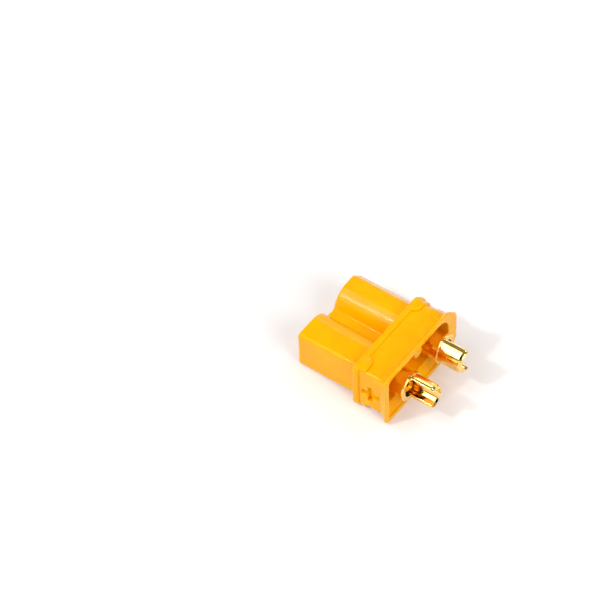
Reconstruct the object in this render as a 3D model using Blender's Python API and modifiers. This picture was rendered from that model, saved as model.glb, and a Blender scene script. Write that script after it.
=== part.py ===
"""Battery connector, socket half: a moulded nylon housing and two turned, gold-plated brass contacts.

The housing is one moulding. Two barrels joined by a thin web point forward (-Y) and enter the mating
half. Behind them come a flange with rear ears, a plain neck with room for a nameplate, and a flared
rim round an open pocket. The contacts run through both barrels: each is a slotted spring socket in
front and a solder cup at the back, cut open on its outer side. The positive barrel (+X) is square and
the negative one (-X) has its corners cut off, so that the pair mates one way round only.

Metres, +Z up, origin at the middle of the lower face of the bounding box.
"""
import math

import bmesh
import bpy

MM = 0.001

# The contacts' spacing, from which both barrels, both bosses and both cups are placed.
CONTACT_PITCH = 5.0 * MM

# Barrels: the mating end of the housing.
BARREL_WIDTH = 9.2 * MM
BARREL_HEIGHT = 3.9 * MM
BARREL_LENGTH = 6.02 * MM
BARREL_CORNER = 0.28 * MM
BARREL_FRONT_EDGE = 0.16 * MM
WEB_THICKNESS = 0.66 * MM
KEY_CHAMFER = 1.1 * MM

# Flange: the stop that the mating half's mouth closes against.
FLANGE_WIDTH = 10.4 * MM
FLANGE_HEIGHT = 4.9 * MM
FLANGE_THICKNESS = 0.6 * MM
FLANGE_CORNER = 0.5 * MM
FLANGE_EDGE = 0.2 * MM
FLANGE_CHAMFER = 1.0 * MM

# Ears: rounded tongues that lie on the neck's upper and lower face. The flange has one at each side,
# just short of its own height, and the rim a shallow one at the keyed side.
FLANGE_EAR_RISE = 0.2 * MM
FLANGE_EAR_REACH = 0.62 * MM
RIM_EAR_RISE = 0.08 * MM
RIM_EAR_REACH = 0.8 * MM
SQUARE_EAR_WIDTH = 1.5 * MM
KEYED_EAR_WIDTH = 1.75 * MM
EAR_INSET = 0.06 * MM
EAR_RADIUS = 0.72 * MM
EAR_ROOT = 0.3 * MM

# Neck: the plain waist between flange and rim, with the nameplate's place on top.
NECK_WIDTH = 9.9 * MM
NECK_HEIGHT = 4.46 * MM
NECK_LENGTH = 2.2 * MM
NECK_CORNER = 0.35 * MM
NECK_CHAMFER = 1.0 * MM

# Rim: the flared skirt round the rear pocket.
RIM_WIDTH = 10.6 * MM
RIM_HEIGHT = 5.8 * MM
RIM_FLARE_LENGTH = 0.62 * MM
RIM_LAND = 0.14 * MM
RIM_CORNER = 0.6 * MM
RIM_CHAMFER = 1.3 * MM
RIM_EDGE = 0.07 * MM

# Pocket: the open rear chamber that takes the soldered wire ends. Its wall is thin all round but for
# the keyed end, which is straight and has full round corners.
POCKET_WALL = 0.52 * MM
POCKET_KEYED_WALL = 0.93 * MM
POCKET_DEPTH = 1.95 * MM
POCKET_CORNER = 0.35 * MM
POCKET_KEYED_CORNER = 1.55 * MM

# Bosses round the contacts, and the small half-round rib under the pocket's roof.
BOSS_DIAMETER = 3.1 * MM
BOSS_LENGTH = 0.6 * MM
BOSS_EDGE = 0.12 * MM
RIB_DIAMETER = 1.15 * MM
RIB_LENGTH = 1.6 * MM
RIB_DROP = 1.35 * MM

# Contact: a turned pin-shaped part with a spring socket in front and a solder cup behind.
MATING_PIN_DIAMETER = 2.0 * MM
SOCKET_DIAMETER = 2.44 * MM
SOCKET_RECESS = 0.7 * MM
SOCKET_DEPTH = 4.9 * MM
SOCKET_LEAD_IN = 0.12 * MM
SLOT_WIDTH = 0.3 * MM
SLOT_LENGTH = 4.0 * MM
BARB_DIAMETER = 2.72 * MM
BARB_LENGTH = 0.5 * MM
BARB_SETBACK = 0.8 * MM
COLLAR_DIAMETER = 2.74 * MM
COLLAR_THICKNESS = 0.34 * MM
COLLAR_STANDOFF = 0.33 * MM
CUP_DIAMETER = 2.64 * MM
CUP_BORE_DIAMETER = 1.9 * MM
CUP_LENGTH = 2.3 * MM
CUP_BORE_BEYOND = 0.75 * MM
CUP_OPENING_OFFSET = 0.04 * MM
CUP_MOUTH_EDGE = 0.2 * MM

# Fits between the contacts and the housing.
CONTACT_CLEARANCE = 0.05 * MM
CHAMBER_CLEARANCE = 0.2 * MM
CHAMBER_LEAD_IN = 0.22 * MM

# Fineness of round forms.
TURN_STEPS = 48
CORNER_STEPS = 5
ARC_STEPS = 10
OVERRUN = 0.4 * MM
MERGE_DISTANCE = 0.001 * MM

# Lengths along Y, measured from the barrels' front face.
FLANGE_REAR = BARREL_LENGTH + FLANGE_THICKNESS
NECK_REAR = FLANGE_REAR + NECK_LENGTH
RIM_MOUTH = NECK_REAR + RIM_FLARE_LENGTH
HOUSING_LENGTH = RIM_MOUTH + RIM_LAND
POCKET_FLOOR = HOUSING_LENGTH - POCKET_DEPTH
COLLAR_FRONT = HOUSING_LENGTH + COLLAR_STANDOFF
CUP_ROOT = COLLAR_FRONT + COLLAR_THICKNESS
TOTAL_LENGTH = CUP_ROOT + CUP_LENGTH
SOCKET_FLOOR = SOCKET_RECESS + SOCKET_DEPTH
BARB_FRONT = SOCKET_FLOOR + BARB_SETBACK
BARB_REAR = BARB_FRONT + BARB_LENGTH
AXIS_HEIGHT = max(RIM_HEIGHT, FLANGE_HEIGHT, BARREL_HEIGHT, NECK_HEIGHT) / 2

NYLON_COLOUR = "FFB512"
GOLD_COLOUR = "F2CB6C"


def along(distance):
    """World Y of a point that lies this far behind the barrels' front face."""
    return distance - TOTAL_LENGTH / 2


def linear_colour(hex_code):
    """A Blender colour from an sRGB hex code."""
    channels = [int(hex_code[i:i + 2], 16) / 255 for i in (0, 2, 4)]
    linear = [c / 12.92 if c <= 0.04045 else ((c + 0.055) / 1.055) ** 2.4 for c in channels]
    return (*linear, 1.0)


def make_material(name, hex_code, roughness, metallic):
    """A plain Principled material."""
    material = bpy.data.materials.new(name)
    material.use_nodes = True
    shader = material.node_tree.nodes["Principled BSDF"]
    shader.inputs["Base Color"].default_value = linear_colour(hex_code)
    shader.inputs["Roughness"].default_value = roughness
    shader.inputs["Metallic"].default_value = metallic
    return material


def make_collection(name):
    """A collection linked to the scene."""
    collection = bpy.data.collections.new(name)
    bpy.context.scene.collection.children.link(collection)
    return collection


def move_to(collection, obj):
    """Puts an object in one collection only."""
    for owner in list(obj.users_collection):
        owner.objects.unlink(obj)
    collection.objects.link(obj)


def corner_arc(centre, radius, start, end, steps):
    """Points on an arc in the XZ plane, from one angle to another, both ends included."""
    points = []
    for i in range(steps + 1):
        angle = start + (end - start) * i / steps
        points.append((centre[0] + radius * math.cos(angle), centre[1] + radius * math.sin(angle)))
    return points


def keyed_outline(width, height, corner, leg):
    """A rectangle with two rounded corners at +X and two cut corners at -X, as (x, z) points.

    The cut corners' own edges are rounded with the same radius, on an arc of an eighth of a turn.
    """
    half_width, half_height = width / 2, height / 2
    setback = corner * math.tan(math.pi / 8)
    upper = corner_arc((half_width - corner, half_height - corner), corner, 0.0, math.pi / 2, CORNER_STEPS)
    top_bend = (-half_width + leg + setback, half_height - corner)
    upper += corner_arc(top_bend, corner, math.pi / 2, 3 * math.pi / 4, CORNER_STEPS // 2)
    side_bend = (-half_width + corner, half_height - leg - setback)
    upper += corner_arc(side_bend, corner, 3 * math.pi / 4, math.pi, CORNER_STEPS // 2)
    return upper + [(x, -z) for x, z in reversed(upper)]


def pocket_outline(width, height):
    """The pocket's section inside a neck or rim of this size: full round corners at the keyed side."""
    square_side = width / 2 - POCKET_WALL
    keyed_side = NECK_WIDTH / 2 - POCKET_KEYED_WALL
    half_height = height / 2 - POCKET_WALL
    keyed_corner = min(POCKET_KEYED_CORNER, half_height - POCKET_CORNER / 2)
    square_bend = (square_side - POCKET_CORNER, half_height - POCKET_CORNER)
    keyed_bend = (-keyed_side + keyed_corner, half_height - keyed_corner)
    upper = corner_arc(square_bend, POCKET_CORNER, 0.0, math.pi / 2, CORNER_STEPS)
    upper += corner_arc(keyed_bend, keyed_corner, math.pi / 2, math.pi, ARC_STEPS)
    return upper + [(x, -z) for x, z in reversed(upper)]


def barrel_outline():
    """Both barrels and their web, as (x, z) points: square at +X, cut corners at -X."""
    half_width, half_height = BARREL_WIDTH / 2, BARREL_HEIGHT / 2
    centre = CONTACT_PITCH / 2
    corner = BARREL_CORNER
    setback = corner * math.tan(math.pi / 8)
    web_angle = math.asin(WEB_THICKNESS / BARREL_HEIGHT)
    upper = corner_arc((half_width - corner, half_height - corner), corner, 0.0, math.pi / 2, CORNER_STEPS)
    upper += corner_arc((centre, 0.0), half_height, math.pi / 2, math.pi - web_angle, ARC_STEPS)
    upper += corner_arc((-centre, 0.0), half_height, web_angle, math.pi / 2, ARC_STEPS)
    top_bend = (-half_width + KEY_CHAMFER + setback, half_height - corner)
    upper += corner_arc(top_bend, corner, math.pi / 2, 3 * math.pi / 4, CORNER_STEPS // 2)
    side_bend = (-half_width + corner, half_height - KEY_CHAMFER - setback)
    upper += corner_arc(side_bend, corner, 3 * math.pi / 4, math.pi, CORNER_STEPS // 2)
    return upper + [(x, -z) for x, z in reversed(upper)]


def mesh_from_curve(curve_object):
    """Turns a filled curve into a mesh object with its caps welded on, and removes the curve."""
    graph = bpy.context.evaluated_depsgraph_get()
    mesh = bpy.data.meshes.new_from_object(curve_object.evaluated_get(graph))
    shape = bmesh.new()
    shape.from_mesh(mesh)
    bmesh.ops.remove_doubles(shape, verts=shape.verts, dist=MERGE_DISTANCE)
    bmesh.ops.recalc_face_normals(shape, faces=shape.faces)
    shape.to_mesh(mesh)
    shape.free()
    name = curve_object.name
    placed = curve_object.matrix_world.copy()
    bpy.data.objects.remove(curve_object)
    obj = bpy.data.objects.new(name, mesh)
    obj.matrix_world = placed
    bpy.context.scene.collection.objects.link(obj)
    return obj


def flat_curve(name, points, thickness):
    """A filled 2D curve with the given outline and thickness, in the XY plane about Z = 0."""
    curve = bpy.data.curves.new(name, "CURVE")
    curve.dimensions = "2D"
    curve.fill_mode = "BOTH"
    curve.extrude = thickness / 2
    spline = curve.splines.new("POLY")
    spline.points.add(len(points) - 1)
    for point, (x, y) in zip(spline.points, points):
        point.co = (x, y, 0.0, 1.0)
    spline.use_cyclic_u = True
    obj = bpy.data.objects.new(name, curve)
    bpy.context.scene.collection.objects.link(obj)
    return obj


def prism_along_y(name, points, front, rear):
    """A solid with an outline in the XZ plane, from one distance behind the front face to another."""
    obj = flat_curve(name, points, rear - front)
    obj.rotation_euler = (math.pi / 2, 0.0, 0.0)
    obj.location = (0.0, along((front + rear) / 2), AXIS_HEIGHT)
    bpy.context.view_layer.update()
    return mesh_from_curve(obj)


def loft_along_y(name, sections):
    """A solid through outlines of equal point count, given as (distance, points), front to rear."""
    shape = bmesh.new()
    loops = []
    for distance, points in sections:
        verts = [shape.verts.new((x, along(distance), AXIS_HEIGHT + z)) for x, z in points]
        edges = [shape.edges.new((verts[i - 1], verts[i])) for i in range(len(verts))]
        loops.append(edges)
    for front, rear in zip(loops, loops[1:]):
        bmesh.ops.bridge_loops(shape, edges=front + rear)
    bmesh.ops.contextual_create(shape, geom=loops[0])
    bmesh.ops.contextual_create(shape, geom=loops[-1])
    bmesh.ops.recalc_face_normals(shape, faces=shape.faces)
    mesh = bpy.data.meshes.new(name)
    shape.to_mesh(mesh)
    shape.free()
    obj = bpy.data.objects.new(name, mesh)
    bpy.context.scene.collection.objects.link(obj)
    return obj


def turned_solid(name, profile, steps=TURN_STEPS):
    """A solid of revolution about Y from (radius, distance) points, listed rear to front outside."""
    mesh = bpy.data.meshes.new(name)
    verts = [(radius, 0.0, distance) for radius, distance in profile]
    mesh.from_pydata(verts, [(i, i + 1) for i in range(len(verts) - 1)], [])
    obj = bpy.data.objects.new(name, mesh)
    bpy.context.scene.collection.objects.link(obj)
    obj.rotation_euler = (-math.pi / 2, 0.0, 0.0)
    obj.location = (0.0, along(0.0), AXIS_HEIGHT)
    screw = obj.modifiers.new("Turned", "SCREW")
    screw.angle = 2 * math.pi
    screw.steps = steps
    screw.render_steps = steps
    screw.use_merge_vertices = True
    screw.merge_threshold = MERGE_DISTANCE
    return obj


def add_bevel(obj, width, segments=2, angle=math.radians(50)):
    """Rounds the edges that turn by more than an angle."""
    bevel = obj.modifiers.new("Rounded edges", "BEVEL")
    bevel.width = width
    bevel.segments = segments
    bevel.limit_method = "ANGLE"
    bevel.angle_limit = angle
    return bevel


def add_boolean(obj, tool, operation, cutters):
    """Joins, cuts or meets an object with a tool, which is kept hidden among the cutters."""
    modifier = obj.modifiers.new(tool.name, "BOOLEAN")
    modifier.operation = operation
    modifier.object = tool
    modifier.solver = "EXACT"
    move_to(cutters, tool)
    tool.hide_render = True
    tool.display_type = "WIRE"
    return modifier


def box_cutter(name, size, centre):
    """A box of a given size about a centre, with its scale applied."""
    bpy.ops.mesh.primitive_cube_add(size=1.0, location=centre)
    obj = bpy.context.object
    obj.name = name
    obj.scale = size
    bpy.ops.object.transform_apply(location=False, rotation=False, scale=True)
    return obj


def smooth_by_angle(mesh, angle=math.radians(35)):
    """Smooth shading with sharp edges kept."""
    mesh.shade_smooth()
    mesh.set_sharp_from_angle(angle=angle)


def ear_outline(inner, outer, root, free):
    """One tongue seen from above, as (x, y) points: the inner corner of its free end is rounded."""
    side = math.copysign(1.0, outer - inner)
    reach = math.copysign(1.0, free - root)
    radius = min(EAR_RADIUS, abs(free - root), abs(outer - inner))
    arc = []
    for i in range(CORNER_STEPS + 1):
        angle = math.pi / 2 * i / CORNER_STEPS
        x = inner + side * radius * (1 - math.cos(angle))
        y = along(free) - reach * radius * (1 - math.sin(angle))
        arc.append((x, y))
    return [(inner, along(root))] + arc + [(outer, along(free)), (outer, along(root))]


def make_ear(name, side, width, rise, root, free, cutters):
    """A tongue on the neck's upper face and its twin on the lower face, as one solid through the neck.

    It follows the neck's outline at an even rise, and stops just inside the neck's side.
    """
    outer = side * (NECK_WIDTH / 2 - EAR_INSET)
    inner = outer - side * width
    plan = flat_curve(name + "_plan", ear_outline(inner, outer, root, free), 2 * RIM_HEIGHT)
    plan.location = (0.0, 0.0, AXIS_HEIGHT)
    bpy.context.view_layer.update()
    plan = mesh_from_curve(plan)
    leg = NECK_CHAMFER + rise * (2 - math.sqrt(2))
    section = keyed_outline(NECK_WIDTH + 2 * rise, NECK_HEIGHT + 2 * rise, NECK_CORNER, leg)
    front, rear = min(root, free) - OVERRUN, max(root, free) + OVERRUN
    ear = prism_along_y(name, section, front, rear)
    add_boolean(ear, plan, "INTERSECT", cutters)
    return ear


def make_ears(cutters):
    """The tongues: one at each side behind the flange, and one at the keyed side before the rim."""
    flange_root, flange_end = FLANGE_REAR - EAR_ROOT, FLANGE_REAR + FLANGE_EAR_REACH
    rim_root, rim_end = NECK_REAR + EAR_ROOT, NECK_REAR - RIM_EAR_REACH
    return [
        make_ear("square_flange_ear", 1.0, SQUARE_EAR_WIDTH, FLANGE_EAR_RISE,
                 flange_root, flange_end, cutters),
        make_ear("keyed_flange_ear", -1.0, KEYED_EAR_WIDTH, FLANGE_EAR_RISE,
                 flange_root, flange_end, cutters),
        make_ear("keyed_rim_ear", -1.0, KEYED_EAR_WIDTH, RIM_EAR_RISE,
                 rim_root, rim_end, cutters),
    ]


def make_pocket():
    """The rear chamber: straight through the neck, then flared with the rim by an even wall."""
    throat = pocket_outline(NECK_WIDTH, NECK_HEIGHT)
    mouth = pocket_outline(RIM_WIDTH, RIM_HEIGHT)
    sections = [
        (POCKET_FLOOR, throat),
        (NECK_REAR, throat),
        (RIM_MOUTH, mouth),
        (HOUSING_LENGTH + OVERRUN, mouth),
    ]
    return loft_along_y("rear_pocket", sections)


def make_boss(name, x):
    """The sleeve of nylon that holds a contact in the pocket."""
    radius = BOSS_DIAMETER / 2
    end = POCKET_FLOOR + BOSS_LENGTH
    profile = [
        (0.0, end),
        (radius - BOSS_EDGE, end),
        (radius, end - BOSS_EDGE),
        (radius, POCKET_FLOOR - OVERRUN),
        (0.0, POCKET_FLOOR - OVERRUN),
    ]
    boss = turned_solid(name, profile)
    boss.location.x = x
    return boss


def make_rib():
    """The small half-round rib that hangs from the pocket's roof between the contacts."""
    radius = RIB_DIAMETER / 2
    end = POCKET_FLOOR + RIB_LENGTH
    profile = [
        (0.0, end),
        (radius - BOSS_EDGE, end),
        (radius, end - BOSS_EDGE),
        (radius, POCKET_FLOOR - OVERRUN),
        (0.0, POCKET_FLOOR - OVERRUN),
    ]
    rib = turned_solid("roof_rib", profile, steps=TURN_STEPS // 2)
    rib.location.z = AXIS_HEIGHT + RIB_DROP
    return rib


def make_contact_bore(name, x):
    """The passage for one contact: a spring chamber in front, then a close seat with a barb groove."""
    chamber = SOCKET_DIAMETER / 2 + CHAMBER_CLEARANCE
    seat = SOCKET_DIAMETER / 2 + CONTACT_CLEARANCE
    groove = BARB_DIAMETER / 2 + CONTACT_CLEARANCE
    profile = [
        (0.0, HOUSING_LENGTH + OVERRUN),
        (seat, HOUSING_LENGTH + OVERRUN),
        (seat, BARB_REAR + CONTACT_CLEARANCE),
        (groove, BARB_REAR + CONTACT_CLEARANCE),
        (groove, BARB_FRONT - CONTACT_CLEARANCE),
        (seat, BARB_FRONT - CONTACT_CLEARANCE),
        (seat, SOCKET_FLOOR),
        (chamber, SOCKET_FLOOR),
        (chamber, CHAMBER_LEAD_IN),
        (chamber + CHAMBER_LEAD_IN, 0.0),
        (chamber + CHAMBER_LEAD_IN, -OVERRUN),
        (0.0, -OVERRUN),
    ]
    bore = turned_solid(name, profile)
    bore.location.x = x
    return bore


def make_housing(cutters):
    """The one-piece nylon housing."""
    housing = prism_along_y("housing", barrel_outline(), 0.0, FLANGE_REAR)
    add_bevel(housing, BARREL_FRONT_EDGE)

    flange_section = keyed_outline(FLANGE_WIDTH, FLANGE_HEIGHT, FLANGE_CORNER, FLANGE_CHAMFER)
    flange = prism_along_y("flange", flange_section, BARREL_LENGTH, FLANGE_REAR)
    add_bevel(flange, FLANGE_EDGE, segments=3)
    add_boolean(housing, flange, "UNION", cutters)

    neck_section = keyed_outline(NECK_WIDTH, NECK_HEIGHT, NECK_CORNER, NECK_CHAMFER)
    rim_section = keyed_outline(RIM_WIDTH, RIM_HEIGHT, RIM_CORNER, RIM_CHAMFER)
    neck_and_rim = loft_along_y("neck_and_rim", [
        (FLANGE_REAR - OVERRUN, neck_section),
        (NECK_REAR, neck_section),
        (RIM_MOUTH, rim_section),
        (HOUSING_LENGTH, rim_section),
    ])
    add_bevel(neck_and_rim, RIM_EDGE, segments=1)
    add_boolean(housing, neck_and_rim, "UNION", cutters)

    for ear in make_ears(cutters):
        add_boolean(housing, ear, "UNION", cutters)

    add_boolean(housing, make_pocket(), "DIFFERENCE", cutters)
    add_boolean(housing, make_rib(), "UNION", cutters)
    for name, x in (("positive", CONTACT_PITCH / 2), ("negative", -CONTACT_PITCH / 2)):
        add_boolean(housing, make_boss(name + "_boss", x), "UNION", cutters)
    for name, x in (("positive", CONTACT_PITCH / 2), ("negative", -CONTACT_PITCH / 2)):
        add_boolean(housing, make_contact_bore(name + "_bore", x), "DIFFERENCE", cutters)
    return housing


def contact_profile():
    """The contact's turned section: cup bore, outside from rear to front, then the socket bore."""
    cup_bore = CUP_BORE_DIAMETER / 2
    cup = CUP_DIAMETER / 2
    collar = COLLAR_DIAMETER / 2
    body = SOCKET_DIAMETER / 2
    barb = BARB_DIAMETER / 2
    pin = MATING_PIN_DIAMETER / 2
    cup_floor = CUP_ROOT - CUP_BORE_BEYOND
    return [
        (0.0, cup_floor),
        (cup_bore, cup_floor),
        (cup_bore, TOTAL_LENGTH - CUP_MOUTH_EDGE / 2),
        (cup_bore + CUP_MOUTH_EDGE / 2, TOTAL_LENGTH),
        (cup - CUP_MOUTH_EDGE, TOTAL_LENGTH),
        (cup, TOTAL_LENGTH - CUP_MOUTH_EDGE),
        (cup, CUP_ROOT),
        (collar, CUP_ROOT),
        (collar, COLLAR_FRONT),
        (body, COLLAR_FRONT),
        (body, BARB_REAR),
        (barb, BARB_REAR),
        (body, BARB_FRONT),
        (body, SOCKET_RECESS + SOCKET_LEAD_IN),
        (body - SOCKET_LEAD_IN, SOCKET_RECESS),
        (pin, SOCKET_RECESS),
        (pin, SOCKET_FLOOR),
        (0.0, SOCKET_FLOOR + pin / 2),
    ]


def make_contact_mesh(cutters):
    """The turned contact with its spring slots and its opened cup, as one mesh about X = 0."""
    contact = turned_solid("contact_blank", contact_profile())
    middle = (AXIS_HEIGHT, along(SOCKET_RECESS + SLOT_LENGTH / 2 - OVERRUN))
    reach = SOCKET_DIAMETER + 2 * OVERRUN
    length = SLOT_LENGTH + 2 * OVERRUN
    upright = box_cutter("upright_slot", (SLOT_WIDTH, length, reach), (0.0, middle[1], middle[0]))
    level = box_cutter("level_slot", (reach, length, SLOT_WIDTH), (0.0, middle[1], middle[0]))
    add_boolean(contact, upright, "DIFFERENCE", cutters)
    add_boolean(contact, level, "DIFFERENCE", cutters)

    opening_length = CUP_LENGTH + OVERRUN
    opening = box_cutter(
        "cup_opening",
        (CUP_DIAMETER, opening_length, COLLAR_DIAMETER + OVERRUN),
        (CUP_OPENING_OFFSET + CUP_DIAMETER / 2, along(CUP_ROOT) + opening_length / 2, AXIS_HEIGHT),
    )
    add_boolean(contact, opening, "DIFFERENCE", cutters)

    bpy.context.view_layer.update()
    graph = bpy.context.evaluated_depsgraph_get()
    mesh = bpy.data.meshes.new_from_object(contact.evaluated_get(graph))
    mesh.transform(contact.matrix_world)
    mesh.name = "contact"
    bpy.data.objects.remove(contact)
    smooth_by_angle(mesh)
    return mesh


def place_contact(name, mesh, x, turned_round):
    """One contact on its barrel's axis, its cup open away from the other one."""
    obj = bpy.data.objects.new(name, mesh)
    obj.location.x = x
    if turned_round:
        obj.rotation_euler = (0.0, math.pi, 0.0)
        obj.location.z = 2 * AXIS_HEIGHT
    bpy.context.scene.collection.objects.link(obj)
    return obj


def main():
    """Builds the connector."""
    for obj in list(bpy.data.objects):
        bpy.data.objects.remove(obj)
    parts = make_collection("battery_connector")
    cutters = make_collection("cutters")
    nylon = make_material("moulded_nylon", NYLON_COLOUR, 0.42, 0.0)
    gold = make_material("gold_plated_brass", GOLD_COLOUR, 0.16, 1.0)

    housing = make_housing(cutters)
    housing.data.materials.append(nylon)
    smooth_by_angle(housing.data)
    move_to(parts, housing)

    contact_mesh = make_contact_mesh(cutters)
    contact_mesh.materials.append(gold)
    for name, x, turned_round in (
        ("positive_contact", CONTACT_PITCH / 2, False),
        ("negative_contact", -CONTACT_PITCH / 2, True),
    ):
        move_to(parts, place_contact(name, contact_mesh, x, turned_round))


main()
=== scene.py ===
"""Dresses the battery connector's socket half: finishes, moulded forms, fine contacts, light and camera.

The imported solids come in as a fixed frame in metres, -Y towards the mating half and +Z up. The housing is
moulded again with soft edges, tongues and engraved polarity marks, and both contacts are turned again with
a finer outline. The new pieces take the place of their solids.
"""

import logging
import math
from dataclasses import dataclass, field, replace
from enum import Enum
from typing import Any, Iterator, Mapping, Sequence

import bmesh
import bpy
from mathutils import Matrix, Quaternion, Vector


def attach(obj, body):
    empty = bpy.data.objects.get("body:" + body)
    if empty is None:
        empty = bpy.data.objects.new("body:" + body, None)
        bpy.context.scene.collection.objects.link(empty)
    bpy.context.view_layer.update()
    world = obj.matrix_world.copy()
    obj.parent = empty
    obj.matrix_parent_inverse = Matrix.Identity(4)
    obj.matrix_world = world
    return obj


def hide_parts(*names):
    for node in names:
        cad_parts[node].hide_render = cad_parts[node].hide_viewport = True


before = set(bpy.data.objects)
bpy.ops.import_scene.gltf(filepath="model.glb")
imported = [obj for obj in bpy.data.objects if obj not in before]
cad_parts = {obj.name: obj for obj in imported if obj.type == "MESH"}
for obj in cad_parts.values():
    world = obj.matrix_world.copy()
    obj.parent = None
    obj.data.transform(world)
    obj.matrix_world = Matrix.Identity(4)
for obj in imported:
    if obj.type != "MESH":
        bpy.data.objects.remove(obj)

LOG = logging.getLogger("battery_connector")
MM = 0.001

# Where the barrels' front face and the contacts' axes lie, in millimetres.
FRONT_FACE = -6.275
AXIS_HEIGHT = 2.9
PITCH = 5.0

# How far shapes reach into each other before they are joined or cut, in millimetres.
OVERLAP = 0.4
# Heights below and above the whole part, for shapes that pass right through it.
THROUGH = (-1.0, 7.0)
# The least radius that a corner keeps where a section is moved inwards.
LEAST_RADIUS = 0.02
# Rings that would lie nearer to each other than this are left out.
LEAST_STEP = 0.005
# How many faces a turned shape has round it.
TURNED_FACES = 96

Point = tuple[float, float]
Ring = tuple[float, list[Point]]


class Polarity(Enum):
    """Which of the two contacts or housing sides is meant, with the side of X that it lies on."""

    POSITIVE = 1.0
    NEGATIVE = -1.0


class Join(Enum):
    """How one shape changes another."""

    ADD = "UNION"
    CUT = "DIFFERENCE"
    MEET = "INTERSECT"


def linear(hex_code: str) -> tuple[float, float, float, float]:
    """Turns an sRGB hex code into a linear colour.

    Args:
        hex_code: Six hex digits.

    Returns:
        Red, green, blue and a full alpha.
    """
    channels = [int(hex_code[i:i + 2], 16) / 255 for i in (0, 2, 4)]
    r, g, b = (c / 12.92 if c <= 0.04045 else ((c + 0.055) / 1.055) ** 2.4 for c in channels)
    return (r, g, b, 1.0)


def add_node(
    tree: bpy.types.NodeTree,
    kind: str,
    settings: Mapping[str | int, Any] | None = None,
    links: Mapping[str | int, bpy.types.NodeSocket] | None = None,
) -> bpy.types.Node:
    """Adds one shader node with its settings and its incoming links.

    Args:
        tree: The node tree that gets the node.
        kind: The node's type name without its "ShaderNode" prefix.
        settings: Values by name, each for a property of the node or else for an input.
        links: Output sockets by the name or number of the input that each one feeds.

    Returns:
        The new node.
    """
    node = tree.nodes.new("ShaderNode" + kind)
    for name, value in (settings or {}).items():
        if isinstance(name, str) and hasattr(node, name):
            setattr(node, name, value)
        else:
            node.inputs[name].default_value = value
    for name, socket in (links or {}).items():
        tree.links.new(socket, node.inputs[name])
    return node


def empty_material(name: str) -> bpy.types.Material:
    """Makes a material whose node tree holds nothing yet.

    Args:
        name: The material's name.

    Returns:
        The new material.
    """
    material = bpy.data.materials.new(name)
    material.use_nodes = True
    material.node_tree.nodes.clear()
    return material


def set_ramp(node: bpy.types.Node, stops: Sequence[tuple[float, tuple[float, float, float, float]]]) -> None:
    """Gives a colour ramp its stops.

    Args:
        node: The colour ramp's node.
        stops: Position and colour of each stop, in order.
    """
    ramp = node.color_ramp
    while len(ramp.elements) < len(stops):
        ramp.elements.new(1.0)
    for element, (position, colour) in zip(ramp.elements, stops):
        element.position = position
        element.color = colour


def seen_share(tree: bpy.types.NodeTree) -> bpy.types.NodeSocket:
    """Tells the rays that show a thing, straight, mirrored or through glass, from those that only light it.

    Args:
        tree: The node tree that asks.

    Returns:
        The socket that gives 1 for what is seen and 0 for the rest.
    """
    ray = add_node(tree, "LightPath")
    seen = add_node(
        tree, "Math", {"operation": "MAXIMUM"},
        {0: ray.outputs["Is Camera Ray"], 1: ray.outputs["Is Glossy Ray"]},
    )
    shown = add_node(
        tree, "Math", {"operation": "MAXIMUM"},
        {0: seen.outputs["Value"], 1: ray.outputs["Is Transmission Ray"]},
    )
    return shown.outputs["Value"]


def object_from(name: str, shape: bmesh.types.BMesh) -> bpy.types.Object:
    """Turns a finished shape into an object of the scene, and frees the shape.

    Args:
        name: The object's and the mesh's name.
        shape: The shape, in metres.

    Returns:
        The new object.
    """
    mesh = bpy.data.meshes.new(name)
    shape.to_mesh(mesh)
    shape.free()
    obj = bpy.data.objects.new(name, mesh)
    bpy.context.scene.collection.objects.link(obj)
    return obj


def apply_modifiers(obj: bpy.types.Object) -> None:
    """Replaces an object's mesh with the one that its modifiers make, and drops them."""
    bpy.context.view_layer.update()
    evaluated = obj.evaluated_get(bpy.context.evaluated_depsgraph_get())
    mesh = bpy.data.meshes.new_from_object(evaluated)
    obj.modifiers.clear()
    obj.data = mesh


def combine(obj: bpy.types.Object, tool: bpy.types.Object, how: Join) -> None:
    """Changes an object by another one, which is used up.

    Args:
        obj: The object that is changed.
        tool: The shape that is added to it, cut out of it or met with it.
        how: Which of these is done.
    """
    modifier = obj.modifiers.new(tool.name, "BOOLEAN")
    modifier.operation = how.value
    modifier.solver = "EXACT"
    modifier.object = tool
    apply_modifiers(obj)
    bpy.data.objects.remove(tool)


def break_edges(obj: bpy.types.Object, width: float, angle: float, segments: int) -> None:
    """Rounds an object's sharper edges.

    Args:
        obj: The object.
        width: How far the rounding reaches from each edge, in millimetres.
        angle: The least turn of an edge that is rounded, in degrees.
        segments: How many faces each rounding has across.
    """
    bevel = obj.modifiers.new("Rounded edges", "BEVEL")
    bevel.width = width * MM
    bevel.segments = segments
    bevel.limit_method = "ANGLE"
    bevel.angle_limit = math.radians(angle)
    apply_modifiers(obj)


def shade(obj: bpy.types.Object, angle: float) -> None:
    """Shades an object smooth, keeps sharp edges sharp and lets its large faces stay flat.

    Args:
        obj: The object.
        angle: The turn in degrees from which an edge stays sharp.
    """
    obj.data.shade_smooth()
    obj.data.set_sharp_from_angle(angle=math.radians(angle))
    weighted = obj.modifiers.new("Flat large faces", "WEIGHTED_NORMAL")
    weighted.keep_sharp = True
    weighted.weight = 60
    apply_modifiers(obj)


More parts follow.
